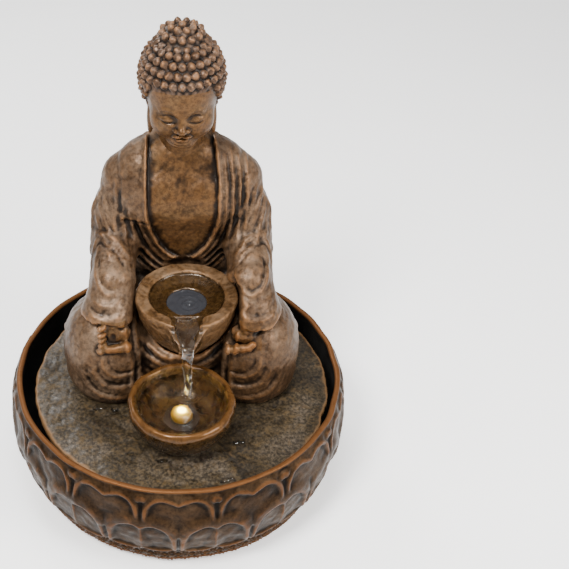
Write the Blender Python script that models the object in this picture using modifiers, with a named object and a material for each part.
"""Tabletop water fountain: a seated figure on a deck that lifts out of a lotus basin.

Lengths are in millimetres and become metres in the helpers. +Z is up, the figure faces -Y,
and the origin is on the table under the middle of the basin.
"""

from math import cos, pi, radians, sin

import bmesh
import bpy
from mathutils import Matrix, Vector

MM = 0.001
GAP = 0.3  # running and resting gap between two separate pieces

# Driving dimensions
RIM_Z = 70.0
RIM_RADIUS = 98.0
BULGE_RADIUS = 102.5
BULGE_Z = 43.0
FOOT_RING_RADIUS = 92.0
FOOT_HEIGHT = 2.2
WALL = 3.6
FLOOR_TOP_Z = 6.8
DECK_TOP_Z = 62.0
DECK_THICKNESS = 5.7
DECK_RADIUS = 89.5
DECK_X, DECK_Y = 1.8, -3.0  # the deck stands a little to one side in the basin
FIGURE_X = DECK_X
UPPER_BOWL = Vector((4.8, 4.0, 90.0))  # middle of its foot
LOWER_BOWL = Vector((1.8, -47.0, DECK_TOP_Z + GAP))
NECK_Z = 206.0
PUMP_X, PUMP_Z = UPPER_BOWL.x, 27.0  # the rotor's axis, along Y
TUBE_Y = UPPER_BOWL.y
TUBE_INNER, TUBE_OUTER = 5.3, 7.0
LEAD_RADIUS = 1.5

# Values that follow from them
BASIN_BOTTOM_Z = FOOT_HEIGHT + GAP
DECK_BOTTOM_Z = DECK_TOP_Z - DECK_THICKNESS
LUG_TOP_Z = DECK_BOTTOM_Z - GAP
BOWL_HEIGHT = 34.0
FOOT_RECESS = 8.0  # hollow under the upper bowl's foot, where its tube comes in
LOWER_BOWL_HEIGHT = 27.7
WELL_FLOOR = 12.5  # floor of the upper bowl's well, over its foot
LED_Z = LOWER_BOWL.z + 9.5  # top of the lower bowl's floor
TUBE_BOTTOM_Z = 47.6
CORD_OUTLET_Z = 59.0
GLAND_Z = 17.0
TUBE_TOP_Z = UPPER_BOWL.z + FOOT_RECESS - GAP


# ---------------------------------------------------------------- scene and materials

def clear_scene():
    for obj in list(bpy.data.objects):
        bpy.data.objects.remove(obj)


def new_collection(name):
    collection = bpy.data.collections.new(name)
    bpy.context.scene.collection.children.link(collection)
    return collection


def new_material(name, colour, roughness, metallic=0.0, alpha=1.0):
    material = bpy.data.materials.new(name)
    material.use_nodes = True
    shader = material.node_tree.nodes["Principled BSDF"]
    shader.inputs["Base Color"].default_value = (*colour, 1.0)
    shader.inputs["Roughness"].default_value = roughness
    shader.inputs["Metallic"].default_value = metallic
    shader.inputs["Alpha"].default_value = alpha
    material.diffuse_color = (*colour, alpha)
    return material


clear_scene()
PARTS = new_collection("tabletop_water_fountain")
CUTTERS = new_collection("cutters")
CUTTERS.hide_render = True

BRONZE = new_material("bronze_resin", (0.22, 0.12, 0.065), 0.5, 0.25)
DECK_BRONZE = new_material("deck_resin", (0.13, 0.10, 0.06), 0.35, 0.1)
BOWL_BRONZE = new_material("bowl_resin", (0.30, 0.15, 0.05), 0.35, 0.2)
BLACK_PLASTIC = new_material("black_plastic", (0.02, 0.02, 0.022), 0.4)
GREY_PLASTIC = new_material("grey_plastic", (0.25, 0.26, 0.27), 0.45)
RUBBER = new_material("black_rubber", (0.03, 0.03, 0.03), 0.8)
CLEAR_VINYL = new_material("clear_vinyl", (0.8, 0.85, 0.85), 0.15, 0.0, 0.5)
LAMP_LENS = new_material("lamp_lens", (1.0, 0.85, 0.45), 0.1)
FERRITE = new_material("ferrite", (0.06, 0.06, 0.065), 0.5, 0.3)
STEEL = new_material("lamination_steel", (0.45, 0.45, 0.47), 0.35, 0.9)
COPPER = new_material("coil_copper", (0.55, 0.22, 0.08), 0.35, 0.9)
CERAMIC = new_material("shaft_ceramic", (0.85, 0.83, 0.78), 0.2)
FOAM = new_material("filter_foam", (0.05, 0.05, 0.06), 0.95)
BOARD = new_material("lamp_board", (0.85, 0.86, 0.84), 0.5)


# ---------------------------------------------------------------- modelling helpers

def add_object(name, data, material, is_part=True):
    obj = bpy.data.objects.new(name, data)
    (PARTS if is_part else CUTTERS).objects.link(obj)
    if material:
        data.materials.append(material)
    if not is_part:
        obj.hide_render = True
        obj.display_type = "WIRE"
    return obj


def from_bmesh(name, bm, material, is_part=True):
    mesh = bpy.data.meshes.new(name)
    bm.to_mesh(mesh)
    bm.free()
    return add_object(name, mesh, material, is_part)


def turned(name, profile, steps, at, material=None, is_part=True, facing_front=False):
    """A solid turned round Z from (radius, height) points that run down the outer side.

    A profile that starts off the axis is a closed ring. facing_front lays the axis along
    -Y, so that a height becomes a distance towards the front.
    """
    mesh = bpy.data.meshes.new(name)
    edges = [(i, i + 1) for i in range(len(profile) - 1)]
    if profile[0][0] > 0:
        edges.append((len(profile) - 1, 0))
    mesh.from_pydata([(r * MM, 0, z * MM) for r, z in profile], edges, [])
    obj = add_object(name, mesh, material, is_part)
    obj.location = Vector(at) * MM
    if facing_front:
        obj.rotation_euler = (radians(90), 0, 0)
    screw = obj.modifiers.new("turn", "SCREW")
    screw.steps = screw.render_steps = steps
    screw.use_merge_vertices = True
    screw.merge_threshold = 0.00001
    screw.use_smooth_shade = False
    return obj


def disc_profile(radius, low, high):
    return [(0, high), (radius, high), (radius, low), (0, low)]


def ring_profile(inner, outer, low, high):
    return [(inner, high), (outer, high), (outer, low), (inner, low)]


def box_mesh(bm, low, high):
    low, high = Vector(low) * MM, Vector(high) * MM
    place = Matrix.Translation((low + high) / 2) @ Matrix.Diagonal((*(high - low), 1))
    bmesh.ops.create_cube(bm, size=1, matrix=place)


def boxes(name, spans, material=None, is_part=True, bevel=0.0):
    """One object of axis-aligned boxes, each a (low corner, high corner)."""
    bm = bmesh.new()
    for low, high in spans:
        box_mesh(bm, low, high)
    obj = from_bmesh(name, bm, material, is_part)
    if bevel:
        rounding = obj.modifiers.new("round", "BEVEL")
        rounding.width = bevel * MM
        rounding.segments = 2
    return obj


def combine(obj, other, operation):
    modifier = obj.modifiers.new(f"{operation.lower()} {other.name}", "BOOLEAN")
    modifier.operation = operation
    modifier.object = other
    return obj


def cut(obj, *cutters):
    for cutter in cutters:
        combine(obj, cutter, "DIFFERENCE")
    return obj


def join(obj, *others):
    for other in others:
        combine(obj, other, "UNION")
    return obj


def sculpted(name, blobs, at, voxel, share, material):
    """One closed form from overlapping ellipsoids, each (centre, radii, tilt about X).

    A blob whose centre is off the middle plane stands on both sides of it.
    """
    bm = bmesh.new()
    for centre, radii, tilt in blobs:
        for side in (1, -1) if centre[0] else (1,):
            middle = Vector((centre[0] * side, centre[1], centre[2])) * MM
            turn = Matrix.Rotation(radians(tilt), 4, "X")
            size = Matrix.Diagonal((*(Vector(radii) * MM), 1))
            place = Matrix.Translation(middle) @ turn @ size
            bmesh.ops.create_uvsphere(
                bm, u_segments=24, v_segments=16, radius=1, matrix=place
            )
    obj = from_bmesh(name, bm, material)
    obj.location = Vector(at) * MM
    remesh = obj.modifiers.new("one skin", "REMESH")
    remesh.mode = "VOXEL"
    remesh.voxel_size = voxel * MM
    decimate = obj.modifiers.new("fewer faces", "DECIMATE")
    decimate.ratio = share
    return obj


def smooth_route(points, spacing):
    """Points about spacing apart on a Catmull-Rom curve through the route's own points."""
    points = [Vector(p) for p in points]
    ends = [2 * points[0] - points[1], *points, 2 * points[-1] - points[-2]]
    route = []
    for a, b, c, d in zip(ends, ends[1:], ends[2:], ends[3:]):
        count = max(1, round((c - b).length / spacing))
        for i in range(count):
            t = i / count
            route.append(
                0.5 * (2 * b + (c - a) * t + (2 * a - 5 * b + 4 * c - d) * t**2
                       + (3 * b - a - 3 * c + d) * t**3)
            )
    return [*route, points[-1]]


def wire(name, points, radius, material):
    curve = bpy.data.curves.new(name, "CURVE")
    curve.dimensions = "3D"
    spline = curve.splines.new("POLY")
    spline.points.add(len(points) - 1)
    for point, place in zip(spline.points, points):
        point.co = (*(place * MM), 1)
    curve.bevel_depth = radius * MM
    curve.bevel_resolution = 2
    curve.use_fill_caps = True
    return add_object(name, curve, material)


# ---------------------------------------------------------------- basin

def basin_outer_radius(z):
    """The bowl swells from its foot ring to the bulge, and draws in to the rim."""
    if z < BULGE_Z:
        rise = (z - BASIN_BOTTOM_Z) / (BULGE_Z - BASIN_BOTTOM_Z)
        return FOOT_RING_RADIUS + (BULGE_RADIUS - FOOT_RING_RADIUS) * sin(rise * pi / 2)
    fall = (z - BULGE_Z) / (RIM_Z - BULGE_Z)
    return BULGE_RADIUS - (BULGE_RADIUS - RIM_RADIUS) * (1 - cos(fall * pi / 2))


def make_basin():
    wall_steps = 7
    heights = [
        RIM_Z - (RIM_Z - BASIN_BOTTOM_Z) * i / wall_steps for i in range(wall_steps + 1)
    ]
    outside = [(basin_outer_radius(z), z) for z in heights]
    inside = [
        (basin_outer_radius(z) - WALL, max(z, FLOOR_TOP_Z)) for z in heights[:-1]
    ]
    floor = [(0, FLOOR_TOP_Z), (FOOT_RING_RADIUS - 8, FLOOR_TOP_Z)]
    profile = [*floor, *reversed(inside), *outside, (0, BASIN_BOTTOM_Z)]
    basin = turned("basin", profile, 56, (0, 0, 0), BRONZE)

    lug_inner, lug_outer, lug_width, lug_height = 79.0, 98.0, 12.0, 10.0
    for index in range(4):
        low = (lug_inner, -lug_width / 2, LUG_TOP_Z - lug_height)
        high = (lug_outer, lug_width / 2, LUG_TOP_Z)
        lug = boxes(f"deck_lug_{index + 1}", [(low, high)], is_part=False)
        lug.rotation_euler.z = radians(45 + 90 * index)
        join(basin, lug)

    outlet = turned(
        "cord_outlet_cutter", disc_profile(6.3, -112, -80), 24,
        (0, 0, CORD_OUTLET_Z), is_part=False, facing_front=True,
    )
    return cut(basin, outlet)


def make_cord_grommet():
    """The rubber bush in the back wall, empty here, that the mains cord passes."""
    wall_back = basin_outer_radius(CORD_OUTLET_Z)
    groove_back, groove_front = wall_back + 1.8, wall_back - WALL - 2.2
    outer_face, inner_face = groove_back + 1.2, groove_front - 1.2
    bore, neck, flange = 3.0, 6.0, 7.5
    profile = [
        (bore, -inner_face), (flange, -inner_face), (flange, -groove_front),
        (neck, -groove_front), (neck, -groove_back), (flange, -groove_back),
        (flange, -outer_face), (bore, -outer_face),
    ]
    return turned(
        "cord_grommet", profile, 24, (0, 0, CORD_OUTLET_Z), RUBBER, facing_front=True
    )


def make_feet():
    foot_circle, foot_radius = 78.0, 8.0
    for index in range(4):
        angle = radians(45 + 90 * index)
        place = (foot_circle * cos(angle), foot_circle * sin(angle), 0)
        turned(
            f"rubber_foot_{index + 1}", disc_profile(foot_radius, 0, FOOT_HEIGHT), 24,
            place, RUBBER,
        )


# ---------------------------------------------------------------- deck, bowls and figure

TUBE_WELL_RADIUS = 13.0
TORSO_CORE = Vector((FIGURE_X, 55.0, 0.0))
TORSO_CORE_TOP_Z = 165.0


def make_tube_well_cutter():
    return turned(
        "tube_well_cutter", disc_profile(TUBE_WELL_RADIUS, DECK_BOTTOM_Z - 5, UPPER_BOWL.z + 3), 32,
        (UPPER_BOWL.x, UPPER_BOWL.y, 0), is_part=False,
    )


def make_torso_core_cutter():
    """The casting's core, open at the deck's underside and narrowing up the torso."""
    foot_radius, top_radius = 12.0, 8.0
    profile = [
        (0, TORSO_CORE_TOP_Z), (top_radius, TORSO_CORE_TOP_Z - 3),
        (foot_radius, DECK_TOP_Z + 30), (foot_radius, DECK_BOTTOM_Z - 5),
        (0, DECK_BOTTOM_Z - 5),
    ]
    return turned("torso_core_cutter", profile, 32, TORSO_CORE, is_part=False)


def make_deck(tube_well, torso_core):
    edge = 1.2
    profile = [
        (0, DECK_TOP_Z), (DECK_RADIUS - edge, DECK_TOP_Z),
        (DECK_RADIUS, DECK_TOP_Z - edge), (DECK_RADIUS, DECK_BOTTOM_Z),
        (0, DECK_BOTTOM_Z),
    ]
    deck = turned("deck_plate", profile, 64, (DECK_X, DECK_Y, 0), DECK_BRONZE)
    lamp_hole = turned(
        "lamp_hole_cutter", disc_profile(10.5, DECK_BOTTOM_Z - 5, DECK_TOP_Z + 5), 32,
        (LOWER_BOWL.x, LOWER_BOWL.y, 0), is_part=False,
    )
    return cut(deck, tube_well, torso_core, lamp_hole)


def upper_bowl_outer(grown=0.0):
    """Outer side of the upper bowl from its rim down to its foot, grown for a cutter."""
    height = BOWL_HEIGHT
    side = [(29.9, height), (30.2, height - 2.5), (29.2, height - 9), (27.0, height - 16),
            (23.5, height - 23), (18.8, height - 30), (16.6, 1.5), (16.0, 0.0)]
    return [(r + grown, z - (grown if z == 0 else 0)) for r, z in side]


def make_upper_bowl():
    floor, well_floor, height = 27.4, WELL_FLOOR, BOWL_HEIGHT
    well_radius, nozzle_hole = 12.2, 5.3
    inside = [
        (nozzle_hole, FOOT_RECESS), (nozzle_hole, well_floor), (well_radius - 1, well_floor),
        (well_radius, floor - 1), (well_radius + 0.8, floor), (21.4, height - 2.6),
        (22.4, height - 1.2),
    ]
    recess = [(11.6, 0.0), (11.0, FOOT_RECESS)]
    profile = [*inside, *upper_bowl_outer(), *recess]
    bowl = turned("upper_bowl", profile, 40, UPPER_BOWL, BOWL_BRONZE)

    # The spout juts out of the front wall: a wedge that narrows to its lip.
    tip_y, root_y = -38.0, -20.0
    floor_root, floor_tip, under_root, under_tip = 26.3, 25.0, 16.0, 20.5
    half_root, half_tip, side_wall = 13.7, 3.6, 2.6
    spout = wedge(
        "spout_block", root_y, tip_y, half_root + side_wall, half_tip + side_wall - 0.5,
        under_root, under_tip, height - 3.0, height - 7.0,
    )
    channel = wedge(
        "spout_channel_cutter", -14.0, tip_y - 6, 17.0, 0.4,
        floor_root + 0.3, floor_tip - 0.4, height + 6, height + 6,
    )
    join(bowl, spout)
    return cut(bowl, channel)


def wedge(name, back_y, front_y, half_back, half_front, low_back, low_front,
          high_back, high_front):
    """A block along -Y on the upper bowl whose width and height taper to the front."""
    bm = bmesh.new()
    box_mesh(bm, (-1, front_y, 0), (1, back_y, 1))
    for vert in bm.verts:
        is_front = vert.co.y < (front_y + back_y) / 2 * MM
        is_high = vert.co.z > 0.5 * MM
        half = half_front if is_front else half_back
        high = high_front if is_front else high_back
        low = low_front if is_front else low_back
        vert.co.x = half * MM * (1 if vert.co.x > 0 else -1)
        vert.co.z = (high if is_high else low) * MM
    obj = from_bmesh(name, bm, None, is_part=False)
    obj.location = UPPER_BOWL * MM
    return obj


def make_lower_bowl():
    height, floor = LOWER_BOWL_HEIGHT, LED_Z - LOWER_BOWL.z
    hole = 8.5
    profile = [
        (hole, 0.0), (hole, floor), (14.0, floor), (20.0, floor + 3.5),
        (23.8, floor + 9.5), (25.2, height - 3), (25.6, height - 0.8),
        (27.4, height), (29.4, height - 1.2), (30.4, height - 4.5), (29.4, height - 11),
        (26.0, height - 18), (20.5, height - 24), (17.5, 0.8), (17.0, 0.0),
    ]
    return turned("lower_bowl", profile, 40, LOWER_BOWL, BOWL_BRONZE)


TORSO_BLOBS = (
    # centre, radii, tilt about X
    ((0, 51, 157), (37.5, 24, 43.5), 6),
    ((0, 57, 125), (43, 23, 46), 0),
    ((21, 45, 182), (20, 18, 16.5), 0),
    ((36, 46, 155), (14, 19, 34), 3),
    ((39, 38, 135), (14, 24, 30), 20),
    ((42, 12, 119), (15, 29, 19), 14),
    ((46, -1, 113), (12, 17, 12), 10),
    ((0, 44, 199), (16.5, 15, 13), 0),
)
LAP_BLOBS = (
    ((0, 46, 84), (52, 29, 28), 0),
    ((42, 24, 84), (24, 32, 26), 8),
    ((45, 3, 86), (23.5, 27, 29), 0),
    ((41, -2, 72), (24, 23, 16), 0),
    ((0, 6, 75), (44, 20, 20), 0),
    ((0, 12, 86), (34, 26, 14), 0),
    ((39, -17, 110), (9, 7, 10), 0),
)
HEAD_BLOBS = (
    ((0, 36, 246), (23.5, 24, 24.5), 0),
    ((0, 35, 269), (12.5, 12.5, 10.5), 0),
    ((0, 25, 232), (17.5, 18, 25), 10),
    ((0, 39, 214), (13.5, 12.5, 14), 0),
    ((20.5, 34, 229), (2.8, 5.5, 14), 0),
)


def make_figure_body(tube_well, torso_core, bowl_seat):
    body = sculpted(
        "figure_body", TORSO_BLOBS + LAP_BLOBS, (FIGURE_X, 0, 0), 3.4, 0.16, BRONZE
    )
    below_deck = boxes(
        "below_deck_cutter", [((-120, -120, 0), (120, 120, DECK_TOP_Z + GAP))],
        is_part=False,
    )
    neck_socket = turned(
        "neck_socket_cutter", disc_profile(9.0 + GAP, NECK_Z - 6 - GAP, 240), 32,
        (FIGURE_X, 40, 0), is_part=False,
    )
    above_neck = boxes(
        "above_neck_cutter", [((-30, 0, NECK_Z + 2), (30, 90, 240))], is_part=False
    )
    # Room for the lower bowl, whose back comes between the shins.
    lower_room = turned(
        "lower_bowl_room_cutter", disc_profile(31.5, 50, 92), 32,
        (LOWER_BOWL.x, LOWER_BOWL.y, 0), is_part=False,
    )
    return cut(
        body, below_deck, neck_socket, above_neck, bowl_seat, tube_well, torso_core,
        lower_room,
    )


def make_bowl_seat_cutter():
    """The upper bowl grown by a clearance and closed by a low dome over its rim."""
    side = upper_bowl_outer(grown=1.0)
    top = BOWL_HEIGHT + 3.0
    profile = [(0, top + 8), (24.0, top + 5), (side[0][0], top), *side, (0, side[-1][1])]
    return turned("bowl_seat_cutter", profile, 40, UPPER_BOWL, is_part=False)


def make_figure_head():
    head = sculpted("figure_head", HEAD_BLOBS, (FIGURE_X, 0, 0), 2.2, 0.2, BRONZE)
    spigot = turned(
        "neck_spigot", disc_profile(9.0, NECK_Z - 6, NECK_Z + 14), 32,
        (FIGURE_X, 40, 0), is_part=False,
    )
    below_neck = boxes(
        "below_neck_cutter", [((-60, -30, 150), (60, 110, NECK_Z + 2 + GAP))],
        is_part=False,
    )
    cut(head, below_neck)
    return join(head, spigot)


# ---------------------------------------------------------------- water line and lamp

def make_bowl_nozzle():
    """Tube connector in the upper bowl's well, with a flange above the hole."""
    well_floor = WELL_FLOOR + GAP
    bottom = FOOT_RECESS - 12.0
    profile = [
        (3.3, well_floor + 2), (8.0, well_floor + 2), (8.0, well_floor),
        (5.0, well_floor), (5.0, bottom), (3.3, bottom),
    ]
    return turned("bowl_nozzle", profile, 32, UPPER_BOWL, BLACK_PLASTIC)


def make_supply_tube():
    profile = ring_profile(TUBE_INNER, TUBE_OUTER, TUBE_BOTTOM_Z, TUBE_TOP_Z)
    return turned(
        "supply_tube", profile, 32, (UPPER_BOWL.x, TUBE_Y, 0), CLEAR_VINYL
    )


def make_lamp():
    at = (LOWER_BOWL.x, LOWER_BOWL.y, LED_Z)
    flange_top = 2.0
    gasket = [
        (6.8, flange_top), (10.2, flange_top), (10.2, GAP), (8.2, GAP),
        (8.2, -6.0), (6.8, -6.0),
    ]
    turned("lamp_gasket", gasket, 32, at, RUBBER)
    housing = [
        (0, -3.0), (5.5, -3.0), (5.5, 3.0), (6.5, 3.0), (6.5, -19.0), (4.0, -21.0),
        (0, -21.0),
    ]
    turned("lamp_housing", housing, 32, at, BLACK_PLASTIC)
    turned("lamp_board", disc_profile(5.1, -2.7, -1.5), 24, at, BOARD)
    chip_low = Vector(at) + Vector((-1.6, -1.6, -1.2))
    chip_high = chip_low + Vector((3.2, 3.2, 1.0))
    boxes("lamp_emitter", [(chip_low, chip_high)], LAMP_LENS)
    dome_steps, dome = 5, 6.3
    arc = [
        (dome * sin(i * pi / 2 / dome_steps), 4.6 + 3.4 * cos(i * pi / 2 / dome_steps))
        for i in range(dome_steps + 1)
    ]
    turned("lamp_lens", [*arc, (dome, 3.0 + GAP), (0, 3.0 + GAP)], 24, at, LAMP_LENS)


# The lead lies level with the pump's gland, so that it has slack to rise with the deck.
LEAD_ROUTE = (
    (1.8, -47.0, LED_Z - 21.0 - 2 * GAP), (1.8, -48.5, 42.0), (3.5, -54.0, 32.0),
    (8.0, -60.0, 21.5), (18.0, -61.5, GLAND_Z), (36.0, -50.0, GLAND_Z),
    (50.0, -28.0, GLAND_Z), (54.0, 0.0, GLAND_Z), (50.0, 32.0, GLAND_Z),
    (38.0, 60.0, GLAND_Z), (22.0, 75.0, GLAND_Z), (9.0, 74.0, GLAND_Z),
    (PUMP_X, 64.0, GLAND_Z), (PUMP_X, 60.0 + GAP, GLAND_Z),
)


def make_lamp_lead():
    spacing = LEAD_RADIUS * 2 * 2.5
    return wire("lamp_lead", smooth_route(LEAD_ROUTE, spacing), LEAD_RADIUS, RUBBER)


# ---------------------------------------------------------------- pump
# Turned pump pieces face the front, so a height of 5 there is y = -5.

PUMP_AXIS = (PUMP_X, 0.0, PUMP_Z)
MOTOR_HALF_WIDTH, MOTOR_BOTTOM_Z, MOTOR_TOP_Z = 19.0, 12.0, 42.5
MOTOR_BACK_Y = 50.0
VOLUTE_FRONT_Y, VOLUTE_BACK_Y = -6.0, 14.0
STRAINER_FRONT_Y = -20.0


def pump_turned(name, profile, steps=24, material=None, is_part=True):
    return turned(name, profile, steps, PUMP_AXIS, material, is_part, True)


def pump_boxes(name, spans, material=None, is_part=True, bevel=0.0):
    """Boxes whose X is measured from the rotor's axis."""
    moved = [
        ((low[0] + PUMP_X, *low[1:]), (high[0] + PUMP_X, *high[1:])) for low, high in spans
    ]
    return boxes(name, moved, material, is_part, bevel)


def make_pump_housing():
    half, low, high = MOTOR_HALF_WIDTH, MOTOR_BOTTOM_Z, MOTOR_TOP_Z
    housing = pump_boxes(
        "pump_housing", [((-half, 9, low), (half, MOTOR_BACK_Y, high))], BLACK_PLASTIC,
        bevel=2.0,
    )
    volute = pump_turned(
        "volute_block", disc_profile(16.0, -VOLUTE_BACK_Y, -VOLUTE_FRONT_Y), 40,
        is_part=False,
    )
    outlet_top = 45.0
    outlet = turned(
        "outlet_block", disc_profile(8.4, 34, outlet_top), 32, (PUMP_X, TUBE_Y, 0),
        is_part=False,
    )
    join(housing, volute, outlet)
    impeller_room = pump_turned(
        "impeller_room_cutter", disc_profile(13.0, -3.5, 12), 36, is_part=False
    )
    stepped = [(0, 0), (8.3, 0), (8.3, -34.6), (3.5, -34.6), (3.5, -36.6), (0, -36.6)]
    rotor_well = pump_turned("rotor_well_cutter", stepped, 32, is_part=False)
    outlet_bore = turned(
        "outlet_bore_cutter", disc_profile(5.3, 33, 50), 30, (PUMP_X, TUBE_Y, 0),
        is_part=False,
    )
    leg = STATOR_LEG
    pockets = pump_boxes(
        "stator_pocket_cutter",
        [
            ((leg[0] - GAP, 17.5, leg[2] - GAP), (leg[1] + GAP, 60, leg[3] + GAP)),
            ((-leg[1] - GAP, 17.5, leg[2] - GAP), (-leg[0] + GAP, 60, leg[3] + GAP)),
        ],
        is_part=False,
    )
    rear_room = pump_boxes(
        "coil_room_cutter", [((-leg[1] - GAP, 37.8, 14.5), (leg[1] + GAP, 60, 40))],
        is_part=False,
    )
    cut(housing, impeller_room, rotor_well, outlet_bore, pockets, rear_room)
    for index, (x, y) in enumerate(CUP_PLACES):
        stud_room = turned(
            f"stud_room_cutter_{index + 1}", disc_profile(2.3, MOTOR_BOTTOM_Z - 4, 14.2),
            16, (x, y, 0), is_part=False,
        )
        cut(housing, stud_room)
    return housing


STATOR_LEG = (10.2, 16.4, 19.0, 35.0)  # low x, high x, low z, high z
CUP_PLACES = [(PUMP_X + x, y) for x in (-12.5, 12.5) for y in (16.0, 42.0)]
COIL = (7.0, 38.2, 49.6, 15.5, 38.5)  # half width, front y, back y, low z, high z


def make_motor():
    low_x, high_x, low_z, high_z = STATOR_LEG
    yoke_front = 40.2
    yoke_back = 47.6
    yoke_low, yoke_high = low_z + 3, high_z - 3
    core = pump_boxes(
        "stator_core", [((low_x, 18, low_z), (high_x, yoke_back, high_z))], STEEL
    )
    other_leg = pump_boxes(
        "stator_leg", [((-high_x, 18, low_z), (-low_x, yoke_back, high_z))],
        is_part=False,
    )
    yoke = pump_boxes(
        "stator_yoke",
        [((-high_x + 1, yoke_front, yoke_low), (high_x - 1, yoke_back - 0.5, yoke_high))],
        is_part=False,
    )
    join(core, yoke, other_leg)
    half, front, back, bottom, top = COIL
    coil = pump_boxes("stator_coil", [((-half, front, bottom), (half, back, top))], COPPER)
    yoke_room = pump_boxes(
        "yoke_room_cutter",
        [((-20, yoke_front - 0.5, yoke_low - 0.5), (20, yoke_back, yoke_high + 0.5))],
        is_part=False,
    )
    cut(coil, yoke_room)
    rear_cap = pump_boxes(
        "pump_rear_cap",
        [((-MOTOR_HALF_WIDTH, MOTOR_BACK_Y + GAP, MOTOR_BOTTOM_Z),
          (MOTOR_HALF_WIDTH, MOTOR_BACK_Y + 3, MOTOR_TOP_Z))],
        BLACK_PLASTIC, bevel=1.0,
    )
    gland_place = (PUMP_X, 0, GLAND_Z)
    gland_hole = turned(
        "gland_hole_cutter", disc_profile(3.3, -58, -48), 24, gland_place,
        is_part=False, facing_front=True,
    )
    cut(rear_cap, gland_hole)
    gland = [
        (0, -50.5), (3.0, -50.5), (3.0, -53.3), (4.6, -53.3), (4.6, -55.0), (3.2, -55.4),
        (2.4, -60.0), (0, -60.0),
    ]
    turned("lead_gland", gland, 24, gland_place, RUBBER, facing_front=True)


def make_rotor():
    shaft_hole = 1.3
    pump_turned(
        "rotor_magnet", ring_profile(shaft_hole, 7.6, -33.6, -4.3), 24, FERRITE
    )
    impeller = pump_turned(
        "impeller", ring_profile(shaft_hole, 4.2, -4.0, 5.0), 24, GREY_PLASTIC
    )
    back_plate = pump_turned(
        "impeller_back_plate", ring_profile(shaft_hole + 1, 11.0, -3.2, -1.8), 24,
        is_part=False,
    )
    blade_count, blade_reach, blade_half = 5, 11.0, 0.7
    for index in range(blade_count):
        # In the frame of the rotor's axis: x outwards, z towards the front.
        blade = boxes(
            f"impeller_blade_{index + 1}",
            [((3.0, -blade_half, -2.4), (blade_reach, blade_half, 4.0))], is_part=False,
        )
        turn = Matrix.Rotation(radians(90), 4, "X")
        spin = Matrix.Rotation(2 * pi * index / blade_count, 4, "Z")
        blade.matrix_world = Matrix.Translation(Vector(PUMP_AXIS) * MM) @ turn @ spin
        join(impeller, blade)
    join(impeller, back_plate)
    pump_turned("rotor_shaft", disc_profile(1.0, -36.3, 8.6), 16, CERAMIC)
    pump_turned("rear_bush", ring_profile(shaft_hole, 3.2, -36.3, -34.0), 24, RUBBER)
    pump_turned("front_bush", ring_profile(shaft_hole, 3.0, 6.4, 8.8), 24, RUBBER)


def make_volute_cover():
    cover = pump_turned(
        "volute_cover", ring_profile(3.3, 16.0, 6.0 + GAP, 9.0), 40, GREY_PLASTIC
    )
    inlet_count, inlet_circle, inlet_radius = 6, 7.2, 2.2
    for index in range(inlet_count):
        angle = 2 * pi * index / inlet_count
        place = Vector((inlet_circle * cos(angle), 0, inlet_circle * sin(angle)))
        inlet = turned(
            f"inlet_cutter_{index + 1}", disc_profile(inlet_radius, 4, 11), 16,
            Vector(PUMP_AXIS) + place, is_part=False, facing_front=True,
        )
        cut(cover, inlet)
    retainer = pump_turned(
        "shaft_retainer", disc_profile(4.6, 9.0 + GAP, 10.3), 24, GREY_PLASTIC
    )
    return cover, retainer


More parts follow.
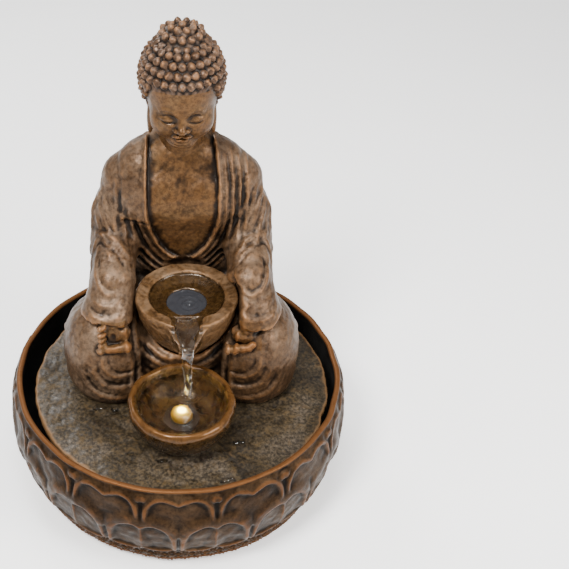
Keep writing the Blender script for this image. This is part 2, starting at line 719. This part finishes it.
def make_strainer():
    half, low, high = 18.5, 12.5, 42.0
    back, wall = -6.0 - GAP - 3.2, 1.6
    strainer = pump_boxes(
        "strainer_cover", [((-half, STRAINER_FRONT_Y, low), (half, back, high))],
        BLACK_PLASTIC, bevel=1.2,
    )
    hollow = pump_boxes(
        "strainer_hollow_cutter",
        [((-half + wall, STRAINER_FRONT_Y + wall, low + wall),
          (half - wall, back + 6, high - wall))],
        is_part=False,
    )
    cut(strainer, hollow)
    slot_half, slot_rows = 1.3, (-14.0, -11.0, 11.0, 14.0)
    slots = pump_boxes(
        "strainer_slot_cutter",
        [((x - slot_half, STRAINER_FRONT_Y - 3, 17), (x + slot_half, -15, 37.5))
         for x in slot_rows],
        is_part=False,
    )
    window_count, window_circle, window_radius = 3, 5.6, 1.9
    cut(strainer, slots)
    for index in range(window_count):
        angle = 2 * pi * index / window_count
        place = Vector((window_circle * cos(angle), 0, window_circle * sin(angle)))
        window = turned(
            f"strainer_window_cutter_{index + 1}", disc_profile(window_radius, 16, 24),
            16, Vector(PUMP_AXIS) + place, is_part=False, facing_front=True,
        )
        cut(strainer, window)
    foam = pump_boxes(
        "filter_foam",
        [((-half + wall + 0.6, STRAINER_FRONT_Y + wall + 1.8, low + wall + 0.6),
          (half - wall - 0.6, -11.0, high - wall - 0.6))],
        FOAM,
    )
    dial_back, dial_front = -STRAINER_FRONT_Y + GAP, -STRAINER_FRONT_Y + 2.4
    dial = pump_turned(
        "flow_dial", disc_profile(8.8, dial_back, dial_front), 32, GREY_PLASTIC
    )
    for index in range(window_count):
        angle = 2 * pi * index / window_count
        place = Vector((window_circle * cos(angle), 0, window_circle * sin(angle)))
        window = turned(
            f"dial_window_cutter_{index + 1}", disc_profile(window_radius, 16, 26), 16,
            Vector(PUMP_AXIS) + place, is_part=False, facing_front=True,
        )
        cut(dial, window)
    grip = pump_boxes(
        "dial_grip",
        [((-1.1, -dial_front - 1.8, PUMP_Z - 8.4), (1.1, -dial_back - 0.6, PUMP_Z + 2.2))],
        is_part=False,
    )
    join(dial, grip)
    return strainer, foam, dial


def make_outlet_adapter():
    bore, stub, collar = 3.3, 5.0, 8.0
    profile = [
        (bore, 55.0), (stub, 55.0), (stub, 47.3), (collar, 47.3), (collar, 45.0 + GAP),
        (stub, 45.0 + GAP), (stub, 41.5), (bore, 41.5),
    ]
    return turned(
        "outlet_adapter", profile, 32, (PUMP_X, TUBE_Y, 0), GREY_PLASTIC
    )


def make_suction_cups():
    for index, (x, y) in enumerate(CUP_PLACES):
        profile = [
            (0, 13.8), (2.0, 13.8), (2.0, 11.5), (3.4, 11.4), (3.2, 9.6), (6.8, 7.6),
            (6.8, FLOOR_TOP_Z + GAP), (0, FLOOR_TOP_Z + GAP),
        ]
        turned(f"suction_cup_{index + 1}", profile, 20, (x, y, 0), CLEAR_VINYL)


# ---------------------------------------------------------------- assembly

make_basin()
make_cord_grommet()
make_feet()
tube_well_cutter = make_tube_well_cutter()
torso_core_cutter = make_torso_core_cutter()
make_deck(tube_well_cutter, torso_core_cutter)
make_figure_body(tube_well_cutter, torso_core_cutter, make_bowl_seat_cutter())
make_figure_head()
make_upper_bowl()
make_lower_bowl()
make_bowl_nozzle()
make_supply_tube()
make_lamp()
make_lamp_lead()
make_pump_housing()
make_motor()
make_rotor()
make_volute_cover()
make_strainer()
make_outlet_adapter()
make_suction_cups()
